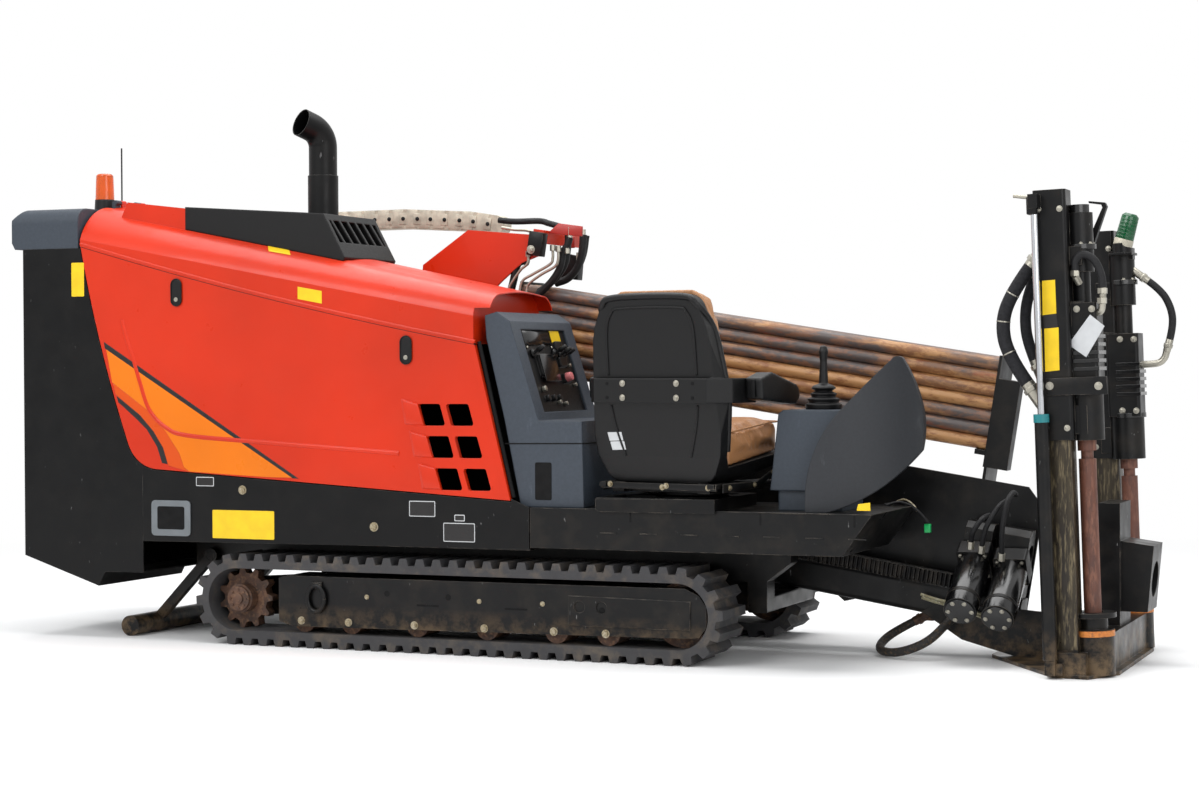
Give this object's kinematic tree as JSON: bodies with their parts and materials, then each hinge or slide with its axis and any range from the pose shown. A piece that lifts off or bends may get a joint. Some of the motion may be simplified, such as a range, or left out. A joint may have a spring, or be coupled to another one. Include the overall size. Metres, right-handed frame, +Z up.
{
  "type": "horizontal directional drill",
  "caption": "Compact horizontal directional drill on rubber tracks, with a hooded engine bay, swivel seat, tilted drill frame, pipe box and front anchors.",
  "frame": {"origin": "on the floor under the middle of the whole machine", "axes": "+X towards the drilling end, +Y towards the machine's left side, +Z up"},
  "size_m": [4.154, 1.2647, 1.9508],
  "materials": {
    "orange_paint": "gloss",
    "black_paint": "satin",
    "grey_plastic": "satin",
    "dark_plastic": "satin",
    "steel": "worn",
    "rubber": "matte",
    "rusty_steel": "rusty",
    "cream_plastic": "matte",
    "tan_leather": "satin",
    "amber_lens": "gloss",
    "green_lens": "gloss"
  },
  "bodies": {
    "chassis": {"chassis_frame": "black_paint", "rear_cowl": "black_paint", "tail_cap": "grey_plastic", "beacon_base": "dark_plastic", "beacon_lens": "amber_lens", "side_skirt": "black_paint", "bay_wall": "black_paint", "engine_block": "steel", "side_tank": "black_paint", "console": "grey_plastic", "control_panel": "dark_plastic", "deck": "black_paint", "seat_base": "black_paint", "joystick_stand": "grey_plastic", "pod_shell": "dark_plastic", "joystick": "dark_plastic", "track_frames": "black_paint", "track_right": "rubber", "track_left": "rubber", "running_gear": "rusty_steel"},
    "hood": {"hood_lid": "orange_paint", "intake_cover": "dark_plastic", "exhaust_stack": "black_paint"},
    "door": {"side_door": "orange_paint", "door_latches": "dark_plastic"},
    "seat": {"seat_frame": "black_paint", "seat_shell": "dark_plastic", "seat_cushion": "tan_leather", "back_cushion": "tan_leather", "armrests": "dark_plastic"},
    "drill_frame": {"thrust_beam": "black_paint", "pipe_box": "black_paint", "drill_pipes": "rusty_steel", "energy_chain": "cream_plastic", "vises": "black_paint", "anchor_base": "black_paint"},
    "right_driver": {"driver_right": "black_paint"},
    "left_driver": {"driver_left": "black_paint", "green_lamp": "green_lens"},
    "right_auger": {"auger_right": "rusty_steel"},
    "left_auger": {"auger_left": "rusty_steel"},
    "carriage": {"carriage": "black_paint", "hose_arm": "orange_paint"},
    "spindle": {"spindle": "steel"},
    "stabiliser": {"stabiliser": "black_paint"},
    "tilt_barrel": {"tilt_barrel": "black_paint"},
    "tilt_rod": {"tilt_rod": "steel"}
  },
  "joints": [
    {"name": "hood_hinge", "type": "hinge", "parent": "chassis", "child": "hood", "pos_m": [-1.793, -0.273, 1.634], "axis": [0, -1, 0], "range_deg": [0, 45]},
    {"name": "door_hinge", "type": "hinge", "parent": "chassis", "child": "door", "pos_m": [-0.032, -0.552, 0.54], "axis": [0.9981, 0, -0.0623], "range_deg": [0, 80]},
    {"name": "seat_swivel", "type": "hinge", "parent": "chassis", "child": "seat", "pos_m": [0.556, -0.33, 0.56], "axis": [0, 0, 1], "range_deg": [-5, 25]},
    {"name": "frame_tilt", "type": "hinge", "parent": "chassis", "child": "drill_frame", "pos_m": [-1.19754, 0.09, 0.58927], "axis": [0, -1, 0], "range_deg": [0, 7]},
    {"name": "carriage_slide", "type": "slide", "parent": "drill_frame", "child": "carriage", "axis": [0.9877, 0, -0.1564], "range_m": [0, 1.7]},
    {"name": "spindle_spin", "type": "hinge", "parent": "carriage", "child": "spindle", "pos_m": [-0.44446, 0.09, 0.67755], "axis": [0.9877, 0, -0.1564], "continuous": true},
    {"name": "right_driver_slide", "type": "slide", "parent": "drill_frame", "child": "right_driver", "axis": [0.0349, 0, -0.9994], "range_m": [0, 0.5]},
    {"name": "left_driver_slide", "type": "slide", "parent": "drill_frame", "child": "left_driver", "axis": [0.0349, 0, -0.9994], "range_m": [0, 0.41]},
    {"name": "right_auger_spin", "type": "hinge", "parent": "right_driver", "child": "right_auger", "pos_m": [1.915, -0.29, 0], "axis": [-0.0349, 0, 0.9994], "continuous": true},
    {"name": "left_auger_spin", "type": "hinge", "parent": "left_driver", "child": "left_auger", "pos_m": [1.915, 0.47, 0], "axis": [-0.0349, 0, 0.9994], "continuous": true},
    {"name": "stabiliser_hinge", "type": "hinge", "parent": "chassis", "child": "stabiliser", "pos_m": [-1.4, 0, 0.296], "axis": [0, 1, 0], "range_deg": [0, 14]},
    {"name": "tilt_barrel_hinge", "type": "hinge", "parent": "chassis", "child": "tilt_barrel", "pos_m": [0.95, 0.218, 0.19], "axis": [0, -1, 0], "range_deg": [0, 17]},
    {"name": "tilt_rod_slide", "type": "slide", "parent": "tilt_barrel", "child": "tilt_rod", "axis": [0.6352, 0, 0.7724], "range_m": [0, 0.251]}
  ]
}
